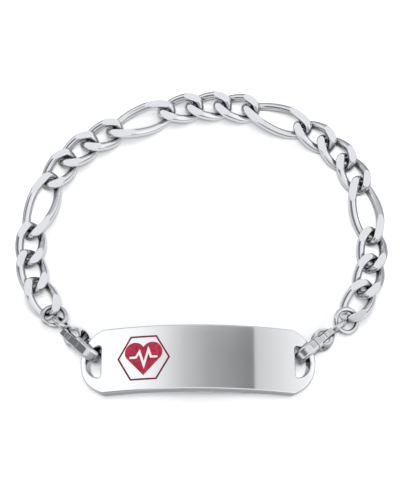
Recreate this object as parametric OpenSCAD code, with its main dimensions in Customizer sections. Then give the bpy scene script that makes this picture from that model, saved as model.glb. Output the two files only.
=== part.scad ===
// Medical alert bracelet: a curved steel plate with a slot near each end, a lobster clasp
// hooked through each slot, a jump ring on each clasp, and a flat-ground figaro chain that
// closes the loop behind the plate. It lies on a table, convex side of the plate up.
// X runs along the plate, Y from the plate to the back of the chain, Z up, millimetres.
// The origin is on the table, in the middle of the opening for the wrist.

/* [Plate] */
// Length of the plate along its curve
plate_l = 44; // [38:0.5:52]
// Width of the plate, front to back
plate_w = 12.3; // [11:0.1:14]
// Thickness of the plate
plate_t = 2; // [1.6:0.1:2.2]
// Radius that the plate is bent to, at the middle of its thickness
plate_bend_r = 49; // [38:1:70]
// Radius of the plate's ends, beyond half of its width
end_extra_r = 0.3; // [0.2:0.05:1]
// Distance from the origin forward to the middle of the plate
plate_forward = 25; // [20:0.5:28]
// Radius of the round side of each D-shaped slot
slot_r = 3; // [2.9:0.1:3.3]
// Fillet in the two corners of each slot
slot_fillet_r = 0.5; // [0.2:0.1:0.9]
// Metal left between a slot and the plate's end
rim_w = 1.1; // [0.9:0.1:1.3]

/* [Emblem] */
// Hexagon line, from tip to tip
border_w = 9.7; // [8:0.1:11]
// Width of the hexagon's enamel line
border_line_w = 0.34; // [0.25:0.01:0.6]
// Distance of the emblem's middle from the left end of the plate, along the curve
emblem_from_end = 12.2; // [10.6:0.1:14]
// Width of the heart
heart_w = 6.9; // [5:0.1:7]
// Width of the bare pulse line across the heart
pulse_line_w = 0.42; // [0.3:0.02:0.6]
// Depth of the enamel in the plate
enamel_depth = 0.3; // [0.2:0.05:0.6]
// Gap all round the enamel
enamel_gap = 0.03; // [0.02:0.01:0.06]

/* [Chain] */
// Diameter of the links' wire
link_wire_d = 1.6; // [1.3:0.05:1.7]
// Length of a short link, outside
short_link_l = 9.3; // [8.8:0.1:10.5]
// Width of a short link, outside
short_link_w = 6; // [5.8:0.1:6.8]
// Length of a long link, outside
long_link_l = 14.7; // [13:0.1:17]
// Width of a long link, outside
long_link_w = 6.5; // [6:0.1:7.4]
// Thickness of the chain after its two flats are ground
chain_t = 2.7; // [2.3:0.05:2.8]
// Angle that each end of a link is twisted out of the table's plane
link_twist = 48; // [42:1:50]
// Slack between two links' wires, measured along the chain
link_slack = 0.5; // [0.3:0.05:0.8]

/* [Jump rings] */
// Diameter of a jump ring, outside
ring_outer_d = 5.3; // [4.8:0.1:6.5]
// Diameter of a jump ring's wire
ring_wire_d = 0.9; // [0.7:0.05:0.95]
// Sideways lean of each jump ring, left and right, about the way its clasp points
ring_leans = [16, 23];
// Play between a jump ring's wire and the end of the chain
ring_play = 0.25; // [0.2:0.01:0.4]
// Play between a jump ring's wire and the eye of the clasp
eye_play = 0.6; // [0.5:0.01:0.7]

/* [Clasps] */
// Distance from the middle of the eye to the middle of the hook's bend
clasp_reach = 7.7; // [7.2:0.1:8.5]
// Radius of the inside of the hook
hook_inner_r = 1.95; // [1.9:0.05:2.3]
// Thickness of the hook, from its inside to its outside
hook_t = 1.15; // [0.9:0.05:1.3]
// Width of the hook across the clasp
hook_w = 2.3; // [1.6:0.1:2.4]
// Distance of the seam between lever and hook, back from the middle of the hook's bend
seam_back = 0.5; // [0.4:0.05:0.7]
// Slant of the seam, its outer edge toward the eye, which lets the lever swing inward
seam_slant = 26; // [22:1:32]
// Length of the lever's gate, the part as wide as the hook
gate_l = 1.6; // [1.4:0.05:1.7]
// Radius of the hole in the eye
eye_hole_r = 1; // [0.95:0.05:1.1]
// Diameter of the eye's wire
eye_wire_d = 1; // [0.9:0.05:1]
// Half of the clasp's greatest thickness
body_half_t = 2; // [1.8:0.05:2.2]
// Distance that the hook's middle is drawn back from the rim of the plate
rim_setback = 0.45; // [0.35:0.05:0.5]
// Direction of each clasp in plan, left and right, out from the plate's long axis
clasp_turns = [46, 41];
// Lean of each clasp about its own length, left and right
clasp_leans = [26, -8];
// Distance of the lever's pin from the eye, along the clasp
pin_x = 4.1; // [3.9:0.05:4.3]
// Distance of the lever's pin from the clasp's axis, toward the lever's side
pin_z = 1.75; // [1.65:0.05:1.85]
// Diameter of the lever's pin
pin_d = 0.7; // [0.5:0.05:0.8]
// Length of the lever's pin
pin_l = 3.4; // [2.6:0.1:3.5]
// Play between the pin and the lever's bore, on the radius
pin_play = 0.03; // [0.02:0.01:0.06]
// Gap between the pin and the cheeks, on the radius
pin_seat_gap = 0.01; // [0.01:0.01:0.03]
// Radius of the lever's boss round the pin
boss_r = 0.95; // [0.8:0.05:1]
// Height that the lever's thumb tab stands above the hook's outer line
tab_h = 0.55; // [0.3:0.05:0.8]
// Thickness of the lever between the two cheeks
lever_t = 1.2; // [0.8:0.05:1.3]
// Gap between the lever and each cheek
lever_gap = 0.15; // [0.1:0.01:0.25]
// Gap between each end of the gate and the metal that it meets
gate_gap = 0.1; // [0.06:0.01:0.2]
// Distance of the middle of the window's round back from the end of the cheeks
window_depth = 0.75; // [0.6:0.05:0.9]
// Room in the cheeks' slot behind the lever's boss, for the thumb tab
tab_room = 1.1; // [0.9:0.05:1.2]
// Room in the cheeks' slot under the lever's boss
boss_room = 0.4; // [0.2:0.05:0.5]
// Gap between the hook's underside and the table
table_gap = 0.08; // [0.07:0.01:0.2]

/* [Lie of the chain] */
// Heading of each link on the table in degrees, from the left clasp round to the right one
link_headings = [121, 104.5, 88, 73, 57, 41, 29, 22.5, 11, 2, -8.5, -21.5, -35, -48, -64, -80.5, -92.5, -106, -122];

/* [Hidden] */
LINK_SECTIONS = 16;
WIRE_SIDES = 6;
CURVE_FN = 48;
LOBE_STEPS = 14;
LINKS = len(link_headings);
// One long link follows each three short ones
PATTERN = 4;
LONG_ROUNDING = 0.85;
SHORT_ROUNDING = 0.7;
BAR_INSET = 0.02;
BAR_OVERLAP = 0.2;
SPINE_IN_BODY = 1;
// The headings are scaled by a factor that is searched for between these two
LEAST_BEND = 0.4;
MOST_BEND = 1.4;
BEND_TRIES = 30;

steel = [0.80, 0.81, 0.83];
bright_steel = [0.88, 0.89, 0.91];
red_enamel = [0.76, 0.10, 0.18];

LEFT = 0;
RIGHT = 1;

// Names of the links, numbered from the left clasp
function is_long(n) = n % PATTERN == PATTERN - 1;
function long_before(n) = floor(n / PATTERN);
function two_digits(n) = n < 10 ? str("0", n) : str(n);
function link_name(n) = is_long(n)
    ? str("long_link_", two_digits(long_before(n) + 1))
    : str("short_link_", two_digits(n - long_before(n) + 1));

// Small helpers for points and directions
function dir2(angle) = [cos(angle), sin(angle)];
function flat(p) = [p[0], p[1]];
function sum2(list, i = 0) = i == len(list) ? [0, 0] : list[i] + sum2(list, i + 1);
function side_sign(side) = side == LEFT ? -1 : 1;

// Sizes of the clasp, in its own frame: X from the eye to the hook's nose, Z to the lever's
// side, Y across, with the middle of the eye at the origin
hook_r = hook_inner_r + hook_t / 2;
hook_outer_r = hook_inner_r + hook_t;
eye_wire_r = eye_wire_d / 2;
eye_r = eye_hole_r + eye_wire_r;
eye_outer_r = eye_r + eye_wire_r;
eye_z = eye_outer_r + table_gap;
// The hook's spine slopes so that it lies along the table from the hook to the eye
spine_slope = asin((hook_outer_r - eye_outer_r) / clasp_reach);
seam_x = clasp_reach - seam_back;

// Where the plate lies: its rims rest in the two hooks
rim_height = eye_z
    + (hook_outer_r + table_gap - eye_z) * (clasp_reach + rim_setback) / clasp_reach;
slot_edge_s = plate_l / 2 - rim_w - slot_r;
end_r = plate_w / 2 + end_extra_r;
end_arc_s = plate_l / 2 - end_r;
emblem_s = emblem_from_end - plate_l / 2;
function bend_angle(s) = s / plate_bend_r * 180 / PI;
function rim_s(side) = slot_edge_s + rim_reach(clasp_turns[side]) * cos(clasp_turns[side]);
bend_z = rim_height - plate_bend_r * cos(bend_angle(max(rim_s(LEFT), rim_s(RIGHT))));
function on_plate(s, y) = [
    plate_bend_r * sin(bend_angle(s)),
    y - plate_forward,
    bend_z + plate_bend_r * cos(bend_angle(s))
];

// Middle of the rim where a clasp crosses it, from the middle of the slot's straight side
function end_reach(turn) = let (back = end_arc_s - slot_edge_s, c = back * cos(turn))
    c + sqrt(c * c - back * back + end_r * end_r);
function rim_reach(turn) = (slot_r + end_reach(turn)) / 2;
function rim_point(side) = let (turn = clasp_turns[side])
    on_plate(side_sign(side) * rim_s(side), rim_reach(turn) * sin(turn));

// The way out from the plate along each clasp, in plan
function clasp_out(side) = side == LEFT ? 180 - clasp_turns[LEFT] : clasp_turns[RIGHT];
// Middle of each clasp's eye
function clasp_pitch(side) = asin((rim_point(side)[2] - eye_z) / (clasp_reach + rim_setback));
function eye_point(side) = let (flat_reach = (clasp_reach + rim_setback) * cos(clasp_pitch(side)))
    concat(flat(rim_point(side)) + flat_reach * dir2(clasp_out(side)), [eye_z]);

// Jump rings
ring_wire_r = ring_wire_d / 2;
ring_r = ring_outer_d / 2 - ring_wire_r;
ring_in_eye = eye_hole_r - ring_wire_r - eye_play;
// A ring slopes down from the middle of the eye to the middle of the chain's thickness
ring_slope = asin((eye_z - chain_t / 2) / (2 * ring_r));
ring_reach = ring_r * cos(ring_slope);
function ring_point(side) = let (p = eye_point(side))
    concat(flat(p) + (ring_reach + ring_in_eye) * dir2(clasp_out(side)), [(eye_z + chain_t / 2) / 2]);

// Lengths along the chain
link_wire_r = link_wire_d / 2;
function link_l(n) = is_long(n) ? long_link_l : short_link_l;
function link_w(n) = is_long(n) ? long_link_w : short_link_w;
function rounding(n) = is_long(n) ? LONG_ROUNDING : SHORT_ROUNDING;
function pitch(n) = link_l(n) - 2 * link_wire_d - link_slack;
function ring_end(n) = link_l(n) / 2 - link_wire_d - ring_wire_r - ring_play + ring_reach;
function before_middle(n) = n == 0 ? ring_end(n) : pitch(n) / 2;
function after_middle(n) = n == LINKS - 1 ? ring_end(n) : pitch(n) / 2;

// The chain is bent more or less, as a whole, until it reaches from ring to ring
function chain_step(n, bend) = (before_middle(n) + after_middle(n)) * dir2(bend * link_headings[n]);
function chain_span(bend) = sum2([for (n = [0:LINKS - 1]) chain_step(n, bend)]);
function find_bend(low, high, span, tries) = let (middle = (low + high) / 2)
    tries == 0 ? middle
    : norm(chain_span(middle)) > span ? find_bend(middle, high, span, tries - 1)
    : find_bend(low, middle, span, tries - 1);
ring_to_ring = flat(ring_point(RIGHT)) - flat(ring_point(LEFT));
chain_bend = find_bend(LEAST_BEND, MOST_BEND, norm(ring_to_ring), BEND_TRIES);
bent_span = chain_span(chain_bend);
chain_rotation = atan2(ring_to_ring[1], ring_to_ring[0]) - atan2(bent_span[1], bent_span[0]);
function heading(n) = chain_bend * link_headings[n] + chain_rotation;
function link_middle(n) = flat(ring_point(LEFT)) + before_middle(n) * dir2(heading(n))
    + sum2([for (i = [0:1:n - 1]) (before_middle(i) + after_middle(i)) * dir2(heading(i))]);

// One link: a round wire along a twisted oval, its ends turned out of the plane in opposite
// directions, with the parts that stand above and below the flats ground away
function shaped(value, power) = sign(value) * pow(abs(value), power);
function oval_point(angle, l, w, power) = let (
    x = (l / 2 - link_wire_r) * shaped(cos(angle), power),
    side = (w / 2 - link_wire_r) * shaped(sin(angle), power),
    turn = link_twist * x / (l / 2 - link_wire_r)
) [x, side * cos(turn), side * sin(turn)];
function unit(v) = v / norm(v);
function ground(p) = [p[0], p[1], max(-chain_t / 2, min(chain_t / 2, p[2]))];
function wire_ring(angle, l, w, power) = let (
    middle = oval_point(angle, l, w, power),
    along = unit(oval_point(angle + 1, l, w, power) - oval_point(angle - 1, l, w, power)),
    turn = link_twist * middle[0] / (l / 2 - link_wire_r),
    outward = unit(cross(along, [0, -sin(turn), cos(turn)])),
    upward = cross(outward, along)
) [for (k = [0:WIRE_SIDES - 1]) let (a = 360 * (k + 0.5) / WIRE_SIDES)
    ground(middle + link_wire_r * (cos(a) * outward + sin(a) * upward))];

module link(l, w, power) {
    rings = [for (i = [0:LINK_SECTIONS - 1]) wire_ring(360 * i / LINK_SECTIONS, l, w, power)];
    polyhedron(
        points = [for (ring = rings) each ring],
        faces = [for (i = [0:LINK_SECTIONS - 1], k = [0:WIRE_SIDES - 1]) let (
            next_i = (i + 1) % LINK_SECTIONS,
            next_k = (k + 1) % WIRE_SIDES
        ) each [
            [i * WIRE_SIDES + k, next_i * WIRE_SIDES + next_k, next_i * WIRE_SIDES + k],
            [i * WIRE_SIDES + k, i * WIRE_SIDES + next_k, next_i * WIRE_SIDES + next_k]
        ]]
    );
}

module chain_link(n) {
    color(bright_steel)
        translate(concat(link_middle(n), [chain_t / 2]))
            rotate([0, 0, heading(n)])
                link(link_l(n), link_w(n), rounding(n));
}

// Puts a shape at a place on the plate's curve, with its Z along the plate's normal there
module at_plate(s, y = 0) {
    translate(on_plate(s, y))
        rotate([0, bend_angle(s), 0])
            children();
}

// A curved sheet that follows the plate between two distances from its middle surface
module plate_sheet(below, above, l, w) {
    arc = 2 * bend_angle(l / 2);
    translate([0, -plate_forward + w / 2, bend_z])
        rotate([90, 0, 0])
            rotate([0, 0, 90 - arc / 2])
                rotate_extrude(angle = arc, $fn = 180)
                    translate([plate_bend_r + below, 0])
                        square([above - below, w]);
}

// The D of a slot: straight side on X = 0, round side toward +X, two filleted corners
module slot_outline() {
    fillet_y = sqrt(pow(slot_r - slot_fillet_r, 2) - pow(slot_fillet_r, 2));
    touch = slot_r / (slot_r - slot_fillet_r) * [slot_fillet_r, fillet_y];
    intersection() {
        circle(slot_r, $fn = CURVE_FN);
        translate([touch[0], -slot_r])
            square([slot_r, 2 * slot_r]);
    }
    polygon([[0, -fillet_y], [slot_fillet_r, -fillet_y], [touch[0], -touch[1]],
        touch, [slot_fillet_r, fillet_y], [0, fillet_y]]);
    for (side = [-1, 1])
        translate([slot_fillet_r, side * fillet_y])
            circle(slot_fillet_r, $fn = CURVE_FN);
}

// What is cut away to leave a round end of the plate
module end_offcut() {
    difference() {
        translate([0, -plate_w])
            square([plate_w, 2 * plate_w]);
        circle(end_r, $fn = 2 * CURVE_FN);
    }
}

// Emblem outlines, shrunk or grown by a margin on every edge
module border_outline(margin) {
    difference() {
        circle(border_w / 2 - margin / cos(30), $fn = 6);
        circle(border_w / 2 - border_line_w / cos(30) + margin / cos(30), $fn = 6);
    }
}

// A heart: two overlapping lobes, and straight sides that run from the tip to each lobe
module heart_outline(margin) {
    lobe_r = heart_w * 0.27;
    lobe = [heart_w / 2 - lobe_r, heart_w * 0.16];
    tip = [0, -heart_w * 0.48];
    to_lobe = lobe - tip;
    side_turn = atan2(to_lobe[1], to_lobe[0]) - asin(lobe_r / norm(to_lobe));
    inner_r = lobe_r - margin;
    arc_from = side_turn - 90;
    arc_to = 180 - acos(lobe[0] / inner_r);
    lobe_step = (arc_to - arc_from) / LOBE_STEPS;
    right_lobe = [for (i = [0:LOBE_STEPS]) lobe + inner_r * dir2(arc_from + lobe_step * i)];
    polygon(concat(
        [tip + [0, margin / cos(side_turn)]],
        right_lobe,
        [for (i = [LOBE_STEPS - 1:-1:0]) [-right_lobe[i][0], right_lobe[i][1]]]
    ));
}

// Corners of the pulse line as shares of the heart's width: along, up
pulse_corners = [[-0.37, 0.02], [-0.20, 0.02], [-0.11, 0.17], [0.01, -0.20], [0.13, 0.22],
    [0.20, 0.02], [0.37, 0.02]];

// Edge of the pulse line beside a corner, where the edges of its two runs meet. At its two ends
// the line goes on by a little more
function run_dir(i) = unit(pulse_corners[i + 1] - pulse_corners[i]);
function left_of(v) = [-v[1], v[0]];
function pulse_edge(i, offset, more) = let (
    last = len(pulse_corners) - 1,
    before = left_of(run_dir(max(i - 1, 0))),
    after = left_of(run_dir(min(i, last - 1))),
    past = i == 0 ? -more * run_dir(0) : i == last ? more * run_dir(last - 1) : [0, 0]
) heart_w * pulse_corners[i] + past + offset * (before + after) / (1 + before * after);

module pulse_outline(margin) {
    last = len(pulse_corners) - 1;
    half_w = pulse_line_w / 2 - margin;
    polygon(concat(
        [for (i = [0:last]) pulse_edge(i, -half_w, -margin)],
        [for (i = [last:-1:0]) pulse_edge(i, half_w, -margin)]
    ));
}

module heart_enamel_outline(margin) {
    difference() {
        heart_outline(margin);
        pulse_outline(-margin);
    }
}

// An emblem outline as a slab that follows the plate's outer face
module enamel_slab(below, above) {
    intersection() {
        plate_sheet(below, above, plate_l, plate_w);
        at_plate(emblem_s)
            linear_extrude(plate_t * 2, center = true)
                children();
    }
}

module id_plate() {
    color(steel)
        difference() {
            plate_sheet(-plate_t / 2, plate_t / 2, plate_l + plate_t, plate_w);
            for (side = [-1, 1]) {
                at_plate(side * end_arc_s)
                    mirror([side < 0 ? 1 : 0, 0, 0])
                        linear_extrude(plate_w, center = true)
                            end_offcut();
                at_plate(side * slot_edge_s)
                    mirror([side < 0 ? 1 : 0, 0, 0])
                        linear_extrude(plate_t * 3, center = true)
                            slot_outline();
            }
            enamel_slab(plate_t / 2 - enamel_depth, plate_t) {
                border_outline(0);
                heart_enamel_outline(0);
            }
        }
}

module emblem_border() {
    color(red_enamel)
        enamel_slab(plate_t / 2 - enamel_depth + enamel_gap, plate_t / 2)
            border_outline(enamel_gap);
}

module emblem_heart() {
    color(red_enamel)
        enamel_slab(plate_t / 2 - enamel_depth + enamel_gap, plate_t / 2)
            heart_enamel_outline(enamel_gap);
}

// Puts a clasp's own frame in its place: the hook points from the eye back to the plate
module at_clasp(side) {
    translate(eye_point(side))
        rotate([0, 0, clasp_out(side) + 180])
            rotate([0, -clasp_pitch(side), 0])
                rotate([clasp_leans[side], 0, 0])
                    children();
}

// The hook's cross-section: flat inside and out, with round sides
module hook_section(inset = 0) {
    square([hook_t - 2 * inset, hook_w - hook_t], center = true);
    for (side = [-1, 1])
        translate([0, side * (hook_w - hook_t) / 2])
            circle(hook_t / 2 - inset, $fn = CURVE_FN);
}

// A straight stretch of the hook along X, at a height Z. It is slimmer than the bend by a hair,
// so that its end lies wholly inside the bend
module hook_bar(from_x, to_x, z) {
    translate([from_x, 0, z])
        rotate([90, 0, 90])
            rotate([0, 0, 90])
                linear_extrude(to_x - from_x)
                    hook_section(BAR_INSET);
}

// A block that ends in the plane of the seam, on the side toward the nose (1) or the eye (-1)
module seam_block(toward) {
    translate([seam_x, 0, hook_inner_r])
        rotate([0, -seam_slant, 0])
            translate([toward * hook_outer_r, 0, 0])
                cube(2 * hook_outer_r, center = true);
}

// The bend from the seam round the nose to the spine, and the spine back to the eye
module hook() {
    translate([clasp_reach, 0, 0]) {
        rotate([-90, 0, 0])
            rotate([0, 0, -90])
                rotate_extrude(angle = 180 + spine_slope, $fn = 2 * CURVE_FN)
                    translate([hook_r, 0])
                        hook_section();
        rotate([0, spine_slope, 0])
            hook_bar(body_end_x - SPINE_IN_BODY - clasp_reach, BAR_OVERLAP, -hook_r);
    }
    difference() {
        hook_bar(seam_x - hook_t, clasp_reach + BAR_OVERLAP, hook_r);
        translate([gate_gap / cos(seam_slant), 0, 0])
            seam_block(-1);
    }
}

// Sections of the clasp's body. Their place is a share of the way from the eye's wire to the end
// of the cheeks, their height below the axis a share of the spine's there, their height above
// the axis a share of the hook's outer radius, and their half thickness a share of the body's
body_rows = [
    // along, below, above, half_thickness
    [0.00, 0.31, 0.22, 0.26],
    [0.10, 0.46, 0.36, 0.44],
    [0.24, 0.65, 0.56, 0.66],
    [0.40, 0.83, 0.76, 0.87],
    [0.56, 0.95, 0.92, 0.98],
    [0.72, 1.00, 1.00, 1.00],
    [0.87, 1.00, 1.00, 0.90],
    [1.00, 1.00, 1.00, 0.74]
];
ALONG = 0;
BELOW = 1;
ABOVE = 2;
HALF_T = 3;
BODY_SIDES = 20;
BODY_SQUARENESS = 0.8;
body_start_x = eye_hole_r + eye_wire_r;
body_end_x = seam_x - gate_l;

// Depth of the spine's outer line below the axis
function spine_depth(x) = eye_outer_r / cos(spine_slope) + x * tan(spine_slope);
function body_ring(row) = [for (k = [0:BODY_SIDES - 1]) let (
    a = 360 * k / BODY_SIDES,
    up = shaped(sin(a), BODY_SQUARENESS),
    x = body_start_x + (body_end_x - body_start_x) * row[ALONG],
    height = up > 0 ? hook_outer_r * row[ABOVE] : spine_depth(x) * row[BELOW]
) [x, body_half_t * row[HALF_T] * shaped(cos(a), BODY_SQUARENESS), height * up]];

module body_pod() {
    last = len(body_rows) - 1;
    polyhedron(
        points = [for (row = body_rows) each body_ring(row)],
        faces = concat(
            [[for (k = [0:BODY_SIDES - 1]) k]],
            [for (i = [0:last - 1], k = [0:BODY_SIDES - 1]) let (
                next_k = (k + 1) % BODY_SIDES,
                here = i * BODY_SIDES,
                ahead = (i + 1) * BODY_SIDES
            ) each [[here + k, ahead + k, ahead + next_k], [here + k, ahead + next_k, here + next_k]]],
            [[for (k = [BODY_SIDES - 1:-1:0]) last * BODY_SIDES + k]]
        )
    );
}

module along_y(d, l) {
    rotate([90, 0, 0])
        cylinder(d = d, h = l, center = true, $fn = CURVE_FN);
}

// The round-ended window between hook and body. Its back end is rounder, as the spine slopes
window_back = clasp_reach - body_end_x - window_depth;
module window() {
    back_z = window_back * tan(spine_slope / 2);
    back_r = hook_inner_r - back_z;
    toward_spine = [sin(spine_slope), cos(spine_slope)];
    rotate([90, 0, 0])
        linear_extrude(3 * body_half_t, center = true) {
            translate([clasp_reach, 0])
                circle(hook_inner_r, $fn = CURVE_FN);
            translate([clasp_reach - window_back, back_z])
                circle(back_r, $fn = CURVE_FN);
            polygon([
                [clasp_reach, hook_inner_r],
                [clasp_reach - window_back, hook_inner_r],
                [clasp_reach - window_back, back_z] - back_r * toward_spine,
                [clasp_reach, 0] - hook_inner_r * toward_spine
            ]);
        }
}

// The room between the cheeks where the lever works
module lever_slot() {
    slot_w = lever_t + 2 * lever_gap;
    back = boss_r + tab_room;
    translate([pin_x - back, -slot_w / 2, pin_z - boss_r - boss_room])
        cube([back + body_end_x - pin_x + gate_l, slot_w, 2 * hook_outer_r]);
}

module clasp_body(side) {
    color(steel)
        at_clasp(side) {
            difference() {
                union() {
                    difference() {
                        body_pod();
                        window();
                    }
                    hook();
                    rotate([90, 0, 0])
                        rotate_extrude($fn = CURVE_FN)
                            translate([eye_r, 0])
                                circle(eye_wire_r, $fn = 24);
                }
                lever_slot();
                translate([pin_x, 0, pin_z])
                    along_y(pin_d, 3 * body_half_t);
            }
        }
}

// The lever: an arm between the cheeks, a gate as wide as the hook, and a thumb tab behind.
// Measured from the pin's middle
module lever_outline() {
    arm_end = seam_x - pin_x;
    arm_low = hook_inner_r - pin_z;
    top = hook_outer_r - pin_z;
    top_end = arm_end - hook_t * tan(seam_slant);
    difference() {
        union() {
            circle(boss_r, $fn = CURVE_FN);
            polygon([
                [0, -0.6 * boss_r],
                [arm_end, arm_low],
                [top_end, top],
                [0.6 * boss_r, top],
                [-0.5 * boss_r, 0.8 * top],
                [-0.95 * boss_r, 0]
            ]);
            polygon([
                [-0.6 * boss_r, -0.5 * boss_r],
                [0.2 * boss_r, 0.85 * top],
                [-0.35 * boss_r, top + tab_h],
                [-1.4 * boss_r, top + tab_h],
                [-1.2 * boss_r, top]
            ]);
        }
        circle(pin_d / 2 + pin_play, $fn = CURVE_FN);
    }
}

module clasp_lever(side) {
    color(bright_steel)
        at_clasp(side) {
            translate([pin_x, 0, pin_z])
                rotate([90, 0, 0])
                    linear_extrude(lever_t, center = true)
                        lever_outline();
            difference() {
                hook_bar(body_end_x + gate_gap, seam_x + hook_t, hook_r);
                seam_block(1);
            }
        }
}

module clasp_pin(side) {
    color(steel)
        at_clasp(side)
            translate([pin_x, 0, pin_z])
                along_y(pin_d - 2 * pin_seat_gap, pin_l);
}

module jump_ring(side) {
    color(steel)
        translate(ring_point(side))
            rotate([0, 0, clasp_out(side)])
                rotate([0, ring_slope, 0])
                    rotate([ring_leans[side], 0, 0])
                        rotate_extrude($fn = 2 * CURVE_FN)
                            translate([ring_r, 0])
                                circle(ring_wire_r, $fn = 24);
}

id_plate();
emblem_border();
emblem_heart();
for (n = [0:LINKS - 1])
    chain_link(n);
jump_ring(LEFT);  // left_jump_ring
jump_ring(RIGHT);  // right_jump_ring
clasp_body(LEFT);  // left_clasp_body
clasp_lever(LEFT);  // left_clasp_lever
clasp_pin(LEFT);  // left_clasp_pin
clasp_body(RIGHT);  // right_clasp_body
clasp_lever(RIGHT);  // right_clasp_lever
clasp_pin(RIGHT);  // right_clasp_pin
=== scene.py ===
# %% [markdown]
# A medical alert bracelet in polished steel, lying closed on a white table. A curved plate with a
# slot near each end is held by two lobster clasps, and a figaro chain of nineteen links closes the
# loop behind it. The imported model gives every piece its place. This script gives each one its
# finished shape and finish, so that the whole loop can be looked at from any side.

# %% Load the frame
import math

import bmesh
import bpy
from mathutils import Matrix, Vector
from mathutils.geometry import delaunay_2d_cdt


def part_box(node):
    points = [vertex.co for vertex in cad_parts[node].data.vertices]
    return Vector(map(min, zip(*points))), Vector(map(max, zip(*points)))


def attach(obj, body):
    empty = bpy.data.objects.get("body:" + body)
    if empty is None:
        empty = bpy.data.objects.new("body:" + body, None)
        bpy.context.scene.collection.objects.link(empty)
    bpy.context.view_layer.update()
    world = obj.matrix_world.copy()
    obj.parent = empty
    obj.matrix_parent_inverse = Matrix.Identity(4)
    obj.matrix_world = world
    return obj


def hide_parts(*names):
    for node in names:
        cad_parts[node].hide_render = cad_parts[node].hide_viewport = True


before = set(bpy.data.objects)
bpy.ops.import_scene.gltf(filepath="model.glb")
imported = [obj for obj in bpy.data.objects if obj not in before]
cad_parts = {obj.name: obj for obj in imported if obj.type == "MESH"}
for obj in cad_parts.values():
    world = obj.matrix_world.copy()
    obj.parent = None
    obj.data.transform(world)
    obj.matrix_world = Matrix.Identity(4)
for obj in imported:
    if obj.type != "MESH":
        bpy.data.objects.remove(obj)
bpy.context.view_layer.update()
MM = 0.001

# %% [markdown]
# The camera looks down at 68 degrees from in front of the plate, 300 mm from the middle of the
# bracelet, through a long lens. At that distance one millimetre on the table is 5.2 dots of a
# picture 400 dots wide, which sets the focal length.

# %% Camera
PICTURE_W = 400
DOTS_PER_MM = 5.2
CAMERA_ELEVATION = 68
CAMERA_DISTANCE = 300
AIM_X = 0.36
AIM_Y = 0.25
SENSOR_W = 36


def direction(elevation):
    """The way from the bracelet to the camera, for a camera in front of it."""
    angle = math.radians(elevation)
    return Vector((0, -math.cos(angle), math.sin(angle)))


lens = bpy.data.cameras.new("camera_lens")
lens.sensor_fit = "HORIZONTAL"
lens.sensor_width = SENSOR_W
lens.lens = SENSOR_W * DOTS_PER_MM * CAMERA_DISTANCE / PICTURE_W
lens.clip_start = 0.01
camera = bpy.data.objects.new("camera", lens)
camera_place = Vector((AIM_X, AIM_Y, 0)) + CAMERA_DISTANCE * direction(CAMERA_ELEVATION)
camera.location = camera_place * MM
camera.rotation_euler = (math.radians(90 - CAMERA_ELEVATION), 0, 0)
bpy.context.scene.collection.objects.link(camera)
bpy.context.scene.camera = camera
bpy.context.scene.view_settings.view_transform = "Standard"
print("camera at", [round(v, 1) for v in camera_place], "mm, lens", round(lens.lens, 1), "mm")

# %% [markdown]
# Materials and geometry trees are both made of nodes. Wrapping a socket in a small class lets the
# maths be written as ordinary sums, which is far easier to read than a list of nodes and links.

# %% Sums of sockets


class Value:
    """A socket of a node tree. Sums and products of it add Math nodes."""

    def __init__(self, tree, socket):
        self.tree = tree
        self.socket = socket

    def math(self, operation, *others):
        inputs = {0: self}
        inputs.update({i + 1: other for i, other in enumerate(others)})
        return self.tree.node("ShaderNodeMath", {"operation": operation}, inputs)

    def __add__(self, other):
        return self.math("ADD", other)

    __radd__ = __add__

    def __mul__(self, other):
        return self.math("MULTIPLY", other)

    __rmul__ = __mul__

    def __sub__(self, other):
        return self.math("SUBTRACT", other)

    def __rsub__(self, other):
        return self * -1 + other

    def shaped(self, power):
        """The value raised to a power, with its sign kept."""
        return self.math("SIGN") * self.math("ABSOLUTE").math("POWER", power)


# %% [markdown]
# Any other node comes from one method. It takes the node's kind, then its settings, such as the
# stops of a colour ramp, and last the values or links of its sockets. The settings go first,
# because some of them change which sockets a node has.

# %% Trees of nodes


class Tree:
    """A node tree that is filled one node at a time."""

    def __init__(self, tree):
        self.tree = tree

    def node(self, kind, settings=None, inputs=None, out=0):
        """Adds a node: its settings first, then its sockets. Gives one of its outputs."""
        made = self.tree.nodes.new(kind)
        for name, setting in (settings or {}).items():
            if name == "stops":
                self.set_stops(made.color_ramp, setting)
            else:
                setattr(made, name, setting)
        for name, value in (inputs or {}).items():
            for each in value if isinstance(value, list) else [value]:
                if isinstance(each, Value):
                    self.tree.links.new(each.socket, made.inputs[name])
                else:
                    made.inputs[name].default_value = each
        return Value(self, made.outputs[out]) if made.outputs else made

    def set_stops(self, ramp, stops):
        while len(ramp.elements) < len(stops):
            ramp.elements.new(1)
        for element, (place, grey) in zip(ramp.elements, stops):
            element.position = place
            element.color = grey if isinstance(grey, tuple) else (grey, grey, grey, 1)


def new_material(name):
    """An empty material and its tree."""
    material = bpy.data.materials.new(name)
    material.use_nodes = True
    material.node_tree.nodes.clear()
    return material, Tree(material.node_tree)


trial = Tree(bpy.data.node_groups.new("trial", "ShaderNodeTree"))
share_left = 1 - trial.node("ShaderNodeValue") * 0.5
print("1 - value * 0.5 takes", len(trial.tree.nodes), "nodes and ends in",
      share_left.socket.node.name)
bpy.data.node_groups.remove(trial.tree)
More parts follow.
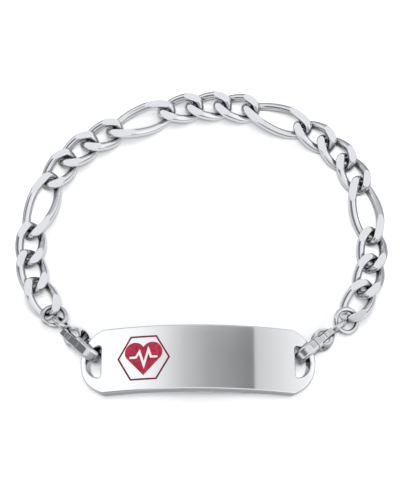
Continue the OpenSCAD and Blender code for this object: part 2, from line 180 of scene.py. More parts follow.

# %% [markdown]
# The steel is polished to a soft mirror. What shows on the real one is the room in it, very fine
# scratches from wear, and a slight waviness of the hand-held polish. So the finish is a metal with
# a low roughness that a fine noise stirs, and two bumps: long waves and thin streaks. The streaks
# run with the way each piece was polished, along X on the plate. Shade is painted into the
# crevices: an Ambient Occlusion node says how open the air over a point is, and the steel's colour
# is painted darker where it is shut in.

# %% Polished steel
SCRATCH_DEPTH = 0.0006
SCRATCH_STRENGTH = 0.35
SMEARS_PER_M = 260.0
UNEVENNESS = 0.05
SHUT_IN = 0.1
OPEN = 0.75


def polished_steel(name, colour, roughness, streaks, waves, crevice_shading):
    """Steel. Streaks: how fine the scratches are along X, Y and Z. Waves: size and depth.

    Crevice shading: painted shade, the share of the colour left in a crevice and its reach.
    """
    wave_size, wave_depth = waves
    shaded_share, reach = crevice_shading
    material, tree = new_material(name)
    place = tree.node("ShaderNodeTexCoord", out="Object")
    along = tree.node("ShaderNodeMapping", {}, {"Vector": place, "Scale": streaks})
    scratches = tree.node("ShaderNodeTexNoise", {"noise_dimensions": "3D"}, {
        "Vector": along, "Scale": 1.0, "Detail": 3.0, "Roughness": 0.6})
    smears = tree.node("ShaderNodeTexNoise", {}, {
        "Vector": place, "Scale": SMEARS_PER_M, "Detail": 2.0})
    long_waves = tree.node("ShaderNodeTexNoise", {}, {
        "Vector": place, "Scale": 1 / (wave_size * MM), "Detail": 1.0})
    scratched = tree.node("ShaderNodeBump", {}, {
        "Strength": SCRATCH_STRENGTH, "Distance": SCRATCH_DEPTH * MM, "Height": scratches})
    bumped = tree.node("ShaderNodeBump", {}, {
        "Strength": 1.0, "Distance": wave_depth * MM, "Height": long_waves,
        "Normal": scratched})
    # Painted shade: the colour is darkened where the Ambient Occlusion node finds the air shut in.
    open_air = tree.node("ShaderNodeAmbientOcclusion", {"samples": 8}, {
        "Distance": reach * MM}, out="AO")
    painted_crevice_shade = tree.node("ShaderNodeMapRange", {}, {
        "Value": open_air, "From Min": SHUT_IN, "From Max": OPEN, "To Min": shaded_share,
        "To Max": 1.0})
    surface = tree.node("ShaderNodeBsdfPrincipled", {}, {
        "Base Color": tree.node("ShaderNodeVectorMath", {"operation": "SCALE"}, {
            0: colour, "Scale": painted_crevice_shade}),
        "Metallic": 1.0,
        "Roughness": (scratches + smears - 1) * UNEVENNESS + roughness,
        "Normal": bumped})
    tree.node("ShaderNodeOutputMaterial", {}, {"Surface": surface})
    return material


# The last pair of each steel sets its painted crevice shade: the tone left and its reach in mm.
plate_steel = polished_steel(
    "plate_steel", colour=(0.66, 0.665, 0.68), roughness=0.08, streaks=(900, 9000, 9000),
    waves=(9, 0.003), crevice_shading=(0.8, 1.8))
chain_steel = polished_steel(
    "chain_steel", colour=(0.65, 0.655, 0.67), roughness=0.09, streaks=(2600, 2600, 2600),
    waves=(3, 0.004), crevice_shading=(0.42, 1.8))
clasp_steel = polished_steel(
    "clasp_steel", colour=(0.61, 0.615, 0.63), roughness=0.11, streaks=(2600, 2600, 2600),
    waves=(2, 0.006), crevice_shading=(0.06, 3.2))
print("steel finishes:", plate_steel.name, chain_steel.name, clasp_steel.name)

# %% [markdown]
# The emblem is filled with red enamel, fired and then polished. Enamel is a coloured glass: deep
# red under a clear gloss, a little cloudy, and never quite even. A fine noise moves its red
# between a deeper and a lighter tone, and a thin coat gives the gloss. The thin hexagon line looks
# a deeper wine red than the broad fill, so it has a red of its own.

# %% Red enamel
CLOUDS_PER_M = 1400.0
DEEP_AT = 0.35
LIGHT_AT = 0.68
RIPPLE_DEPTH = 0.01


def enamel(name, deep, light):
    """Enamel that clouds between two reds."""
    material, tree = new_material(name)
    place = tree.node("ShaderNodeTexCoord", out="Object")
    cloud = tree.node("ShaderNodeTexNoise", {}, {
        "Vector": place, "Scale": CLOUDS_PER_M, "Detail": 3.0})
    tone = tree.node("ShaderNodeValToRGB", {"stops": [(DEEP_AT, deep), (LIGHT_AT, light)]}, {
        "Fac": cloud})
    ripple = tree.node("ShaderNodeBump", {}, {
        "Strength": 0.5, "Distance": RIPPLE_DEPTH * MM, "Height": cloud})
    surface = tree.node("ShaderNodeBsdfPrincipled", {}, {
        "Base Color": tone,
        "Roughness": 0.30 + (cloud - 0.5) * 0.1,
        "Specular IOR Level": 0.15,
        "Coat Weight": 0.08,
        "Coat Roughness": 0.1,
        "Normal": ripple})
    tree.node("ShaderNodeOutputMaterial", {}, {"Surface": surface})
    return material


emblem_red = enamel("emblem_red", (0.20, 0.006, 0.02, 1), (0.33, 0.02, 0.05, 1))
border_red = enamel("border_red", (0.09, 0.003, 0.014, 1), (0.17, 0.007, 0.026, 1))
print("enamel:", emblem_red.name, border_red.name)

# %% [markdown]
# Every piece is built in millimetres, as a maker would measure it. These helpers read a place from
# the frame, make a mesh of points and faces, turn its faces outward, and take a plain mesh from an
# object whose modifiers have shaped it.

# %% Helpers for meshes


def centre(node):
    """Middle of a node's box, in millimetres."""
    low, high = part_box(node)
    return (low + high) / 2 / MM


def add_object(name, data):
    made = bpy.data.objects.new(name, data)
    bpy.context.scene.collection.objects.link(made)
    return made


def mesh_of(name, points, faces):
    mesh = bpy.data.meshes.new(name)
    mesh.from_pydata([tuple(p) for p in points], [], faces)
    mesh.validate()
    return mesh


def face_outward(mesh):
    """Merges doubles and turns the faces of a closed mesh outward."""
    work = bmesh.new()
    work.from_mesh(mesh)
    bmesh.ops.remove_doubles(work, verts=work.verts, dist=1e-5)
    bmesh.ops.recalc_face_normals(work, faces=work.faces)
    if work.calc_volume(signed=True) < 0:
        bmesh.ops.reverse_faces(work, faces=work.faces)
    work.to_mesh(mesh)
    work.free()


def shaped_by(obj):
    """A plain mesh of what an object's modifiers make of it."""
    bpy.context.view_layer.update()
    graph = bpy.context.evaluated_depsgraph_get()
    return bpy.data.meshes.new_from_object(obj.evaluated_get(graph))


print("plate's middle", [round(v, 2) for v in centre("id_plate")], "mm")

# %% [markdown]
# A finished piece is brought to metres and sits at the origin with its place in its mesh, as the
# frame's own do. It gets its finish, it hides the frame's nodes that it stands for, and it is hung
# on the body that it moves with.

# %% Finishing a piece


def finish_piece(name, mesh, material, body, nodes, place=None, sharp=None):
    """Puts a mesh made in millimetres in its place, in metres, with its finish and its body."""
    mesh.transform(Matrix.Scale(MM, 4) @ (place or Matrix.Identity(4)))
    mesh.materials.clear()
    mesh.materials.append(material)
    mesh.polygons.foreach_set("use_smooth", [True] * len(mesh.polygons))
    if sharp is not None:
        mesh.set_sharp_from_angle(angle=math.radians(sharp))
    piece = add_object(name, mesh)
    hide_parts(*nodes)
    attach(piece, body)
    mesh.calc_loop_triangles()
    print(name, len(mesh.loop_triangles), "triangles")


# %% [markdown]
# A figaro link is a round wire bent to an oval and then twisted, so that its two ends lean out of
# the table's plane and the next link can pass through. Once the chain is assembled it is pressed
# and ground flat on both sides, which leaves bright lens-shaped flats with crisp borders. The
# wire's path follows one rule, so Geometry Nodes draw it: a circle of points is moved onto the
# twisted oval, a round section is swept along it, and a slab as thick as the chain cuts the flats.

# %% One link as a node group
LINK_WIRE_D = 1.6
LINK_TWIST = 48
CHAIN_T = 2.7
LINK_STEPS = 112
WIRE_STEPS = 28


def link_group():
    """A group that gives one link of any length and width, lying at the origin."""
    group = bpy.data.node_groups.new("figaro_link", "GeometryNodeTree")
    for label in ("Length", "Width", "Rounding", "Wire", "Twist", "Thickness"):
        group.interface.new_socket(label, in_out="INPUT", socket_type="NodeSocketFloat")
    group.interface.new_socket("Link", in_out="OUTPUT", socket_type="NodeSocketGeometry")
    tree = Tree(group)
    sizes = group.nodes.new("NodeGroupInput")
    length, width, rounding, wire, twist, thickness = (
        Value(tree, sizes.outputs[i]) for i in range(6))
    angle = tree.node("GeometryNodeInputIndex") * (2 * math.pi / LINK_STEPS)
    along = angle.math("COSINE").shaped(rounding)
    across = angle.math("SINE").shaped(rounding) * ((width - wire) * 0.5)
    turn = along * twist
    path_point = tree.node("ShaderNodeCombineXYZ", {}, {
        "X": along * ((length - wire) * 0.5),
        "Y": across * turn.math("COSINE"),
        "Z": across * turn.math("SINE")})
    circle = tree.node("GeometryNodeCurvePrimitiveCircle", {"mode": "RADIUS"}, {
        "Resolution": LINK_STEPS})
    path = tree.node("GeometryNodeSetPosition", {}, {"Geometry": circle, "Position": path_point})
    section = tree.node("GeometryNodeCurvePrimitiveCircle", {"mode": "RADIUS"}, {
        "Resolution": WIRE_STEPS, "Radius": wire * 0.5})
    bent_wire = tree.node("GeometryNodeCurveToMesh", {}, {
        "Curve": path, "Profile Curve": section})
    slab_size = tree.node("ShaderNodeCombineXYZ", {}, {
        "X": length * 2, "Y": length * 2, "Z": thickness})
    slab = tree.node("GeometryNodeMeshCube", {}, {"Size": slab_size})
    ground = tree.node("GeometryNodeMeshBoolean", {"operation": "INTERSECT", "solver": "EXACT"}, {
        1: [bent_wire, slab]})
    tree.node("NodeGroupOutput", {}, {"Link": ground})
    return group


figaro_link = link_group()
print("link group:", len(figaro_link.nodes), "nodes")

# %% [markdown]
# Three short links and a long one make a group of the figaro pattern. Each link has a heading on
# the table. The two jump rings say where the chain starts and ends, and their slope follows from
# their height over the table.

# %% The links of the chain
LINK_HEADINGS = [121, 104.5, 88, 73, 57, 41, 29, 22.5, 11, 2, -8.5, -21.5, -35, -48, -64, -80.5,
                 -92.5, -106, -122]
LINK_SIZES = {
    # kind: length, width, rounding
    "short": (9.3, 6.0, 0.7),
    "long": (14.7, 6.5, 0.85),
}
LINKS_PER_GROUP = 4
RING_OUTER_D = 5.3
RING_WIRE_D = 0.9

ring_r = (RING_OUTER_D - RING_WIRE_D) / 2
left_ring, right_ring = centre("left_jump_ring"), centre("right_jump_ring")
ring_slope = math.degrees(math.asin((left_ring.z - CHAIN_T / 2) / ring_r))
link_count = len(LINK_HEADINGS)
kinds = ["long" if n % LINKS_PER_GROUP == LINKS_PER_GROUP - 1 else "short"
         for n in range(link_count)]
link_nodes = [f"{kind}_link_{kinds[:n + 1].count(kind):02d}" for n, kind in enumerate(kinds)]
print("links:", link_count, "of which long:", kinds.count("long"))

# %% [markdown]
# The links lie round the loop one after another. The distance between two links' middles comes
# from their lengths and the slack between the wires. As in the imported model, all headings are
# opened or closed a little together until the chain reaches from one jump ring to the other. How
# much is found by halving a range again and again.

# %% The lie of the chain
LINK_SLACK = 0.5
RING_PLAY = 0.25
HALVINGS = 30


def half_step(n, at_ring):
    """From a link's middle to where the next piece takes over."""
    length = LINK_SIZES[kinds[n]][0]
    if at_ring:
        return (length / 2 - LINK_WIRE_D - RING_WIRE_D / 2 - RING_PLAY
                + ring_r * math.cos(math.radians(ring_slope)))
    return (length - 2 * LINK_WIRE_D - LINK_SLACK) / 2


def lay_links(bend, turn=0.0, start=Vector((0, 0, 0))):
    """Middles and headings of all links, and where the chain ends."""
    place, middles, headings = start.copy(), [], []
    for n, drawn in enumerate(LINK_HEADINGS):
        heading = math.radians(bend * drawn) + turn
        step = Vector((math.cos(heading), math.sin(heading), 0))
        middles.append(place + step * half_step(n, n == 0))
        headings.append(heading)
        place = middles[-1] + step * half_step(n, n == link_count - 1)
    return middles, headings, place


low_bend, high_bend = 0.4, 1.4
ring_to_ring = (right_ring - left_ring).xy
for _ in range(HALVINGS):
    bend = (low_bend + high_bend) / 2
    if lay_links(bend)[2].length > ring_to_ring.length:
        low_bend = bend
    else:
        high_bend = bend
chain_turn = (math.atan2(ring_to_ring.y, ring_to_ring.x)
              - math.atan2(*reversed(lay_links(bend)[2].xy)))
link_middles, headings, _ = lay_links(bend, chain_turn, Vector((*left_ring.xy, CHAIN_T / 2)))
strays = [(middle - centre(node)).length for middle, node in zip(link_middles, link_nodes)]
print("bend", round(bend, 4), "largest stray from the frame", round(max(strays), 3), "mm")

# %% [markdown]
# One point stands for each link and carries its heading and its kind. The tree puts a link of the
# right kind on each point, makes them real and gives them their steel.

# %% The chain's tree


def chain_tree():
    """The chain's tree, and the size that each of its inputs gets."""
    group = bpy.data.node_groups.new("figaro_chain", "GeometryNodeTree")
    group.interface.new_socket("Points", in_out="INPUT", socket_type="NodeSocketGeometry")
    settings = {}
    for label, size in (("Wire diameter", LINK_WIRE_D), ("Twist", math.radians(LINK_TWIST)),
                        ("Chain thickness", CHAIN_T)):
        socket = group.interface.new_socket(label, in_out="INPUT", socket_type="NodeSocketFloat")
        settings[socket.identifier] = size
    for kind, sizes in LINK_SIZES.items():
        for label, size in zip(("length", "width", "rounding"), sizes):
            socket = group.interface.new_socket(
                f"{kind.title()} link {label}", in_out="INPUT", socket_type="NodeSocketFloat")
            settings[socket.identifier] = size
    group.interface.new_socket("Chain", in_out="OUTPUT", socket_type="NodeSocketGeometry")
    tree = Tree(group)
    given = group.nodes.new("NodeGroupInput")
    points, wire, twist, thickness = (Value(tree, given.outputs[i]) for i in range(4))
    heading = tree.node("GeometryNodeInputNamedAttribute", {"data_type": "FLOAT"}, {
        "Name": "heading"})
    is_long = tree.node("GeometryNodeInputNamedAttribute", {"data_type": "BOOLEAN"}, {
        "Name": "is_long"})
    turned = tree.node("FunctionNodeEulerToRotation", {}, {
        "Euler": tree.node("ShaderNodeCombineXYZ", {}, {"Z": heading})})
    laid = []
    for row, kind in enumerate(LINK_SIZES):
        length, width, rounding = (Value(tree, given.outputs[4 + 3 * row + i]) for i in range(3))
        link = tree.node("GeometryNodeGroup", {"node_tree": figaro_link}, {
            "Length": length, "Width": width, "Rounding": rounding,
            "Wire": wire, "Twist": twist, "Thickness": thickness})
        chosen = is_long if kind == "long" else tree.node(
            "FunctionNodeBooleanMath", {"operation": "NOT"}, {0: is_long})
        laid.append(tree.node("GeometryNodeInstanceOnPoints", {}, {
            "Points": points, "Selection": chosen, "Instance": link, "Rotation": turned}))
    joined = tree.node("GeometryNodeJoinGeometry", {}, {0: laid})
    real = tree.node("GeometryNodeRealizeInstances", {}, {0: joined})
    steel = tree.node("GeometryNodeSetMaterial", {}, {"Geometry": real, "Material": chain_steel})
    tree.node("NodeGroupOutput", {}, {0: steel})
    return group, settings


# %% [markdown]
# A mesh of bare points wears the tree as a modifier. The modifier's inputs are set by their
# identifiers before the object is first evaluated. What comes out is made a plain mesh, and the
# borders of the ground flats are kept crisp.

# %% The chain
FLAT_BORDER = 18

points_mesh = mesh_of("link_points", link_middles, [])
points_mesh.attributes.new("heading", "FLOAT", "POINT").data.foreach_set("value", headings)
points_mesh.attributes.new("is_long", "BOOLEAN", "POINT").data.foreach_set(
    "value", [kind == "long" for kind in kinds])
points = add_object("link_points", points_mesh)
maker = points.modifiers.new("figaro_chain", "NODES")
maker.node_group, chain_settings = chain_tree()
for identifier, size in chain_settings.items():
    maker[identifier] = size
chain_mesh = shaped_by(points)
bpy.data.objects.remove(points)
face_outward(chain_mesh)
for name in [a.name for a in chain_mesh.attributes if a.name in ("heading", "is_long")]:
    chain_mesh.attributes.remove(chain_mesh.attributes[name])
finish_piece("figaro_chain", chain_mesh, chain_steel, "bracelet", link_nodes,
             sharp=FLAT_BORDER)

# %% [markdown]
# Rings, pins, hooks and bodies are all lofts: rows of points that are joined each to the next. In
# a ring of round wire the last row is joined to the first.

# %% Lofts and round wire
RING_STEPS = 96
SECTION_STEPS = 28


def loft(rings, closed=False):
    """Faces between rings of points, with a flat end at each side unless the row is closed."""
    sides = len(rings[0])
    points = [p for ring in rings for p in ring]
    faces = []
    for i in range(len(rings) if closed else len(rings) - 1):
        here, ahead = i * sides, (i + 1) % len(rings) * sides
        for k in range(sides):
            near = (k + 1) % sides
            faces.append((here + k, here + near, ahead + near, ahead + k))
    if not closed:
        faces.append(tuple(reversed(range(sides))))
        faces.append(tuple(range(len(points) - sides, len(points))))
    mesh = mesh_of("loft", points, faces)
    face_outward(mesh)
    return mesh


def torus(mean_r, wire_r, axis):
    """A ring of round wire about an axis through the origin."""
    rings = []
    for i in range(RING_STEPS):
        a = 2 * math.pi * i / RING_STEPS
        ring = []
        for k in range(SECTION_STEPS):
            b = 2 * math.pi * k / SECTION_STEPS
            reach = mean_r + wire_r * math.cos(b)
            flat = (reach * math.cos(a), reach * math.sin(a), wire_r * math.sin(b))
            ring.append(flat if axis == "Z" else (flat[0], flat[2], flat[1]))
        rings.append(ring)
    return loft(rings, closed=True)


print("faces round a ring of wire:", RING_STEPS * SECTION_STEPS)

# %% [markdown]
# A jump ring is a round wire bent into a circle, its two ends brought together. It passes through
# the clasp's eye and the chain's last link. The two rings sit where the frame's are, and lean as
# those do.

# %% Jump rings
CLASP_OUT = {"left": 134.0, "right": 41.0}
RING_LEANS = {"left": 16.0, "right": 23.0}


def turned(axis, degrees):
    return Matrix.Rotation(math.radians(degrees), 4, axis)


for side in ("left", "right"):
    node = f"{side}_jump_ring"
    ring_place = (Matrix.Translation(centre(node)) @ turned("Z", CLASP_OUT[side])
                  @ turned("Y", ring_slope) @ turned("X", RING_LEANS[side]))
    finish_piece(f"{side}_ring", torus(ring_r, RING_WIRE_D / 2, "Z"), clasp_steel, "bracelet",
                 [node], ring_place)

# %% [markdown]
# The plate is stamped from sheet, its edges are rounded by tumbling, and it is bent to the wrist.
# It is drawn flat here, as rows of points on arcs and straight lines. Where the next row starts
# with a row's last point, that point is left out.

# %% Arcs and lines


def arc(middle, r, start, end, steps, last=True):
    """Points on an arc, from one angle to another, in degrees."""
    return [Vector((middle[0] + r * math.cos(math.radians(start + (end - start) * i / steps)),
                    middle[1] + r * math.sin(math.radians(start + (end - start) * i / steps))))
            for i in range(steps + (1 if last else 0))]


def line(a, b, steps):
    """Points on a line, without its last one."""
    a, b = Vector(a), Vector(b)
    return [a.lerp(b, i / steps) for i in range(steps)]


print("points of a half circle in 8 steps:", len(arc((0, 0), 1, 0, 180, 8)))

# %% [markdown]
# The outline and the two D-shaped slots are known curves, so each can be drawn again a little
# inside itself. Rings of such outlines will make the rounded edge.

# %% Outlines of the plate
PLATE_L = 44
PLATE_W = 12.3
END_R = 6.45
SLOT_R = 3
SLOT_FILLET_R = 0.5
RIM_W = 1.1
END_STEPS = 40
LONG_STEPS = 44
SLOT_SIDE_STEPS = 12
SLOT_FILLET_STEPS = 8
SLOT_STEPS = 40

slot_edge_s = PLATE_L / 2 - RIM_W - SLOT_R
end_arc_s = PLATE_L / 2 - END_R


def plate_outline(inset):
    half_w, r = PLATE_W / 2 - inset, END_R - inset
    limit = math.degrees(math.asin(half_w / r))
    corner_s = end_arc_s + r * math.cos(math.radians(limit))
    return (arc((end_arc_s, 0), r, -limit, limit, END_STEPS, last=False)
            + line((corner_s, half_w), (-corner_s, half_w), LONG_STEPS)
            + arc((-end_arc_s, 0), r, 180 - limit, 180 + limit, END_STEPS, last=False)
            + line((-corner_s, -half_w), (corner_s, -half_w), LONG_STEPS))


def slot_outline(side, growth):
    """The D of a slot, its straight side toward the plate's middle."""
    fillet_y = math.sqrt((SLOT_R - SLOT_FILLET_R) ** 2 - SLOT_FILLET_R ** 2)
    touch = math.degrees(math.atan2(fillet_y, SLOT_FILLET_R))
    fillet_r = SLOT_FILLET_R + growth
    d = (line((-growth, fillet_y), (-growth, -fillet_y), SLOT_SIDE_STEPS)
         + arc((SLOT_FILLET_R, -fillet_y), fillet_r, 180, 360 - touch, SLOT_FILLET_STEPS,
               last=False)
         + arc((0, 0), SLOT_R + growth, -touch, touch, SLOT_STEPS, last=False)
         + arc((SLOT_FILLET_R, fillet_y), fillet_r, touch, 180, SLOT_FILLET_STEPS, last=False))
    return [Vector((side * (slot_edge_s + p.x), p.y)) for p in d]


print("slot straight side at", round(slot_edge_s, 2), "end arcs at", round(end_arc_s, 2))

# %% [markdown]
# The emblem sits left of the middle: a thin hexagon line, and in it a heart that a bare pulse line
# crosses. Both are shallow pockets in the steel, filled with enamel. The same outlines serve for
# the pockets and, drawn a hair smaller, for the enamel.

# %% Outline of the hexagon line
EMBLEM_OFFSET = 9.8
BORDER_W = 9.7
BORDER_LINE_W = 0.34
SIDE_STEPS = 8


def on_emblem(points):
    return [Vector((p[0] - EMBLEM_OFFSET, p[1])) for p in points]


def hexagon(outer, margin):
    """Outer or inner edge of the hexagon line, drawn in from each edge by a margin."""
    r = (BORDER_W / 2 - margin / math.cos(math.radians(30)) if outer else
         BORDER_W / 2 - (BORDER_LINE_W - margin) / math.cos(math.radians(30)))
    corners = arc((0, 0), r, 0, 360, 6)
    return on_emblem([p for a, b in zip(corners, corners[1:]) for p in line(a, b, SIDE_STEPS)])


print("points of the hexagon line's edge:", len(hexagon(True, 0)))

# %% [markdown]
# The heart is two round lobes, and two straight sides that touch them and meet in the tip. The
# pulse line is a row of corners, drawn again to the left and to the right of itself.

# %% Outlines of the heart
HEART_W = 6.9
LOBE_R = 0.27 * HEART_W
LOBE_X = HEART_W / 2 - LOBE_R
LOBE_Y = 0.16 * HEART_W
TIP_Y = -0.48 * HEART_W
LOBE_STEPS = 28
PULSE_LINE_W = 0.42
PULSE = [(-0.37, 0.02), (-0.20, 0.02), (-0.11, 0.17), (0.01, -0.20), (0.13, 0.22), (0.20, 0.02),
         (0.37, 0.02)]


def heart(margin):
    tip_to_lobe = Vector((LOBE_X, LOBE_Y - TIP_Y))
    side_turn = (math.degrees(math.atan2(tip_to_lobe.y, tip_to_lobe.x))
                 - math.degrees(math.asin(LOBE_R / tip_to_lobe.length)))
    r = LOBE_R - margin
    lobe = arc((LOBE_X, LOBE_Y), r, side_turn - 90, 180 - math.degrees(math.acos(LOBE_X / r)),
               LOBE_STEPS)
    tip = Vector((0, TIP_Y + margin / math.cos(math.radians(side_turn))))
    right = line(tip, lobe[0], SIDE_STEPS) + lobe[:-1]
    left = [Vector((-p.x, p.y)) for p in [lobe[-1]] + list(reversed(right))[:-1]]
    return on_emblem(right + left)


def pulse(margin):
    """Edge of the bare line, drawn out by a margin on every side."""
    corners = [Vector(p) * HEART_W for p in PULSE]
    runs = [(b - a).normalized() for a, b in zip(corners, corners[1:])]
    corners[0] -= runs[0] * margin
    corners[-1] += runs[-1] * margin
    offset = PULSE_LINE_W / 2 + margin
    edge = []
    for i, corner in enumerate(corners):
        before, after = runs[max(i - 1, 0)], runs[min(i, len(runs) - 1)]
        lefts = Vector((-before.y - after.y, before.x + after.x)) / (1 + before.dot(after))
        edge.append((corner - lefts * offset, corner + lefts * offset))
    return on_emblem([low for low, _ in edge] + [high for _, high in reversed(edge)])


print("points of the heart and of the pulse line:", len(heart(0)), len(pulse(0)))

# %% [markdown]
# A closed outline is a loop. Its area, with a sign, says which way round it runs. A rounded edge
# is a list of rings from the underside to the top: how far each is drawn in from the outline, its
# height, and the slope of the surface there. A narrow ring past each end holds the faces flat.

# %% Loops and rounded edges
EDGE_R = 0.28
EDGE_STEPS = 5
HOLD = 0.06


def inside(point, loop):
    """Whether a point is in a loop: a line from it crosses the loop an odd number of times."""
    hit = False
    for a, b in zip(loop, loop[1:] + loop[:1]):
        if (a.y > point.y) != (b.y > point.y):
            if point.x < a.x + (point.y - a.y) / (b.y - a.y) * (b.x - a.x):
                hit = not hit
    return hit


def area_of(loop):
    return sum(a.x * b.y - b.x * a.y for a, b in zip(loop, loop[1:] + loop[:1])) / 2


def edge_profile(low, high, r, hold):
    """Inset, height and slope of the rings round a rounded edge, from underside to top."""
    rows = [(r + hold, low, -90)]
    rows += [(r - r * math.cos(math.radians(a)), low + r + r * math.sin(math.radians(a)), a)
             for a in [-90 + 90 * i / EDGE_STEPS for i in range(EDGE_STEPS + 1)]]
    rows += [(r - r * math.cos(math.radians(a)), high - r + r * math.sin(math.radians(a)), a)
             for a in [90 * i / EDGE_STEPS for i in range(EDGE_STEPS + 1)]]
    return rows + [(r + hold, high, 90)]


print("rings of a rounded edge:", len(edge_profile(0, 1, EDGE_R, HOLD)))

# %% [markdown]
# The plate is bent to a part of a circle. The frame's plate says where the top of the arch is, and
# the circle's middle lies straight below it.

# %% The plate's circle
PLATE_T = 2
PLATE_BEND_R = 49

plate_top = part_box("id_plate")[1].z / MM
bend_z = plate_top - PLATE_BEND_R - PLATE_T / 2
plate_y = centre("id_plate").y
print("the plate's circle: middle at y", round(plate_y, 2), "and z", round(bend_z, 2))

# %% [markdown]
# One builder serves the plate and the enamel. It takes the outlines with the rounded profile of
# their edges, joins ring to ring, and fills the top and the bottom with triangles. Then it bends
# every point onto the plate's circle. Each corner of each face gets the exact direction of the
# real surface, so a mirror-like face shows no trace of its triangles.

# %% Builder for flat pieces
GRID = 0.75
CLEAR_OF_EDGE = 0.45 * GRID


class FlatPiece:
    """Points and faces drawn flat, with the direction of the surface at each face's corners."""

    def __init__(self):
        self.points, self.faces, self.normals = [], [], []

    def add_ring(self, loop, height):
        start = len(self.points)
        self.points += [Vector((p.x, p.y, height)) for p in loop]
        return list(range(start, len(self.points)))

    def add_edge(self, outline, profile, hole):
        """Rings of one outline. Gives the lowest and the highest ring's numbers."""
        rings = [self.add_ring(outline(inset), height) for inset, height, _ in profile]
        loop = outline(0)
        count = len(loop)
        turn = 1 if (area_of(loop) > 0) != hole else -1
        outward = []
        for i in range(count):
            run = (loop[(i + 1) % count] - loop[i - 1]).normalized()
            outward.append(Vector((run.y, -run.x)) * turn)
        for (_, _, low_slope), (_, _, high_slope), low, high in zip(
                profile, profile[1:], rings, rings[1:]):
            for i in range(count):
                j = (i + 1) % count
                face = [low[i], low[j], high[j], high[i]]
                slopes = [low_slope, low_slope, high_slope, high_slope]
                ways = [outward[i], outward[j], outward[j], outward[i]]
                if turn < 0:
                    face, slopes, ways = face[::-1], slopes[::-1], ways[::-1]
                self.faces.append(face)
                self.normals.append([
                    Vector((w.x * math.cos(math.radians(s)), w.y * math.cos(math.radians(s)),
                            math.sin(math.radians(s)))) for w, s in zip(ways, slopes)])
        return rings[0], rings[-1]

    def fill(self, rings, keep, height, up):
        """Triangles between the rings where keep says so, with a grid of points between."""
        loops = [[self.points[i].xy for i in ring] for ring in rings]
        flat = [p for loop in loops for p in loop]
        numbers = [i for ring in rings for i in ring]
        edges, start = [], 0
        for loop in loops:
            edges += [(start + i, start + (i + 1) % len(loop)) for i in range(len(loop))]
            start += len(loop)
        low = Vector((min(p.x for p in flat), min(p.y for p in flat)))
        high = Vector((max(p.x for p in flat), max(p.y for p in flat)))
        for i in range(1, int((high.x - low.x) / GRID)):
            for j in range(1, int((high.y - low.y) / GRID)):
                p = Vector((low.x + i * GRID, low.y + j * GRID))
                if keep(p) and min((p - q).length for q in flat) > CLEAR_OF_EDGE:
                    flat.append(p)
                    numbers.append(len(self.points))
                    self.points.append(Vector((p.x, p.y, height)))
        found, _, triangles, from_points, _, _ = delaunay_2d_cdt(flat, edges, [], 0, 1e-6)
        for triangle in triangles:
            if keep(sum((found[i] for i in triangle), Vector((0, 0))) / 3):
                face = [numbers[from_points[i][0]] for i in triangle]
                self.faces.append(face if up else face[::-1])
                self.normals.append([Vector((0, 0, 1 if up else -1))] * 3)

    def bent_mesh(self, name):
        """The piece bent onto the plate's circle."""
        def bent(p):
            a = p.x / PLATE_BEND_R
            r = PLATE_BEND_R + p.z
            return Vector((r * math.sin(a), plate_y + p.y, bend_z + r * math.cos(a)))

        def turned_normal(n, s):
            a = s / PLATE_BEND_R
            return Vector((n.x * math.cos(a) + n.z * math.sin(a), n.y,
                           n.z * math.cos(a) - n.x * math.sin(a)))

        mesh = bpy.data.meshes.new(name)
        mesh.from_pydata([bent(p) for p in self.points], [], self.faces)
        mesh.polygons.foreach_set("use_smooth", [True] * len(mesh.polygons))
        corners = [turned_normal(n, self.points[i].x)
                   for face, normals in zip(self.faces, self.normals)
                   for i, n in zip(face, normals)]
        mesh.normals_split_custom_set(corners)
        return mesh


# %% [markdown]
# The plate is one sheet with seven outlines: its own edge, the two slots, the outer and the inner
# side of the hexagon line, the heart, and the pulse line in it. The emblem's are sharp steps down
# to the floor of a pocket, as an engraving tool leaves them, and the others are rounded.

# %% The plate
ENAMEL_DEPTH = 0.3
POCKET = [(0, PLATE_T / 2 - ENAMEL_DEPTH, 0), (0, PLATE_T / 2, 0)]

plate = FlatPiece()
edge = edge_profile(-PLATE_T / 2, PLATE_T / 2, EDGE_R, HOLD)
outer_low, outer_high = plate.add_edge(plate_outline, edge, False)
slot_rings = [plate.add_edge(lambda d, s=s: slot_outline(s, d), edge, True) for s in (-1, 1)]
pockets = {
    "hexagon": (lambda d: hexagon(True, d), True),
    "hexagon_island": (lambda d: hexagon(False, d), False),
    "heart": (heart, True),
    "pulse_island": (pulse, False),
}
pocket_rings = {name: plate.add_edge(outline, POCKET, hole)
                for name, (outline, hole) in pockets.items()}
loops = {name: outline(0) for name, (outline, _) in pockets.items()}
outer_loop = plate_outline(EDGE_R)
slot_loops = [slot_outline(s, EDGE_R) for s in (-1, 1)]


def in_enamel(p):
    ring = inside(p, loops["hexagon"]) and not inside(p, loops["hexagon_island"])
    fill = inside(p, loops["heart"]) and not inside(p, loops["pulse_island"])
    return ring or fill


def on_face(p):
    return inside(p, outer_loop) and not any(inside(p, loop) for loop in slot_loops)


plate.fill([outer_low] + [low for low, _ in slot_rings], on_face, -PLATE_T / 2, False)
plate.fill([outer_high] + [high for _, high in slot_rings + list(pocket_rings.values())],
           lambda p: on_face(p) and not in_enamel(p), PLATE_T / 2, True)
plate.fill([low for low, _ in pocket_rings.values()], in_enamel, PLATE_T / 2 - ENAMEL_DEPTH, True)
finish_piece("curved_plate", plate.bent_mesh("curved_plate"), plate_steel, "bracelet",
             ["id_plate"])

# %% [markdown]
# Enamel is laid in as a paste and fired. It shrinks a little at the rim of its pocket and stands a
# hair proud in the middle, so each piece gets a rounded edge.

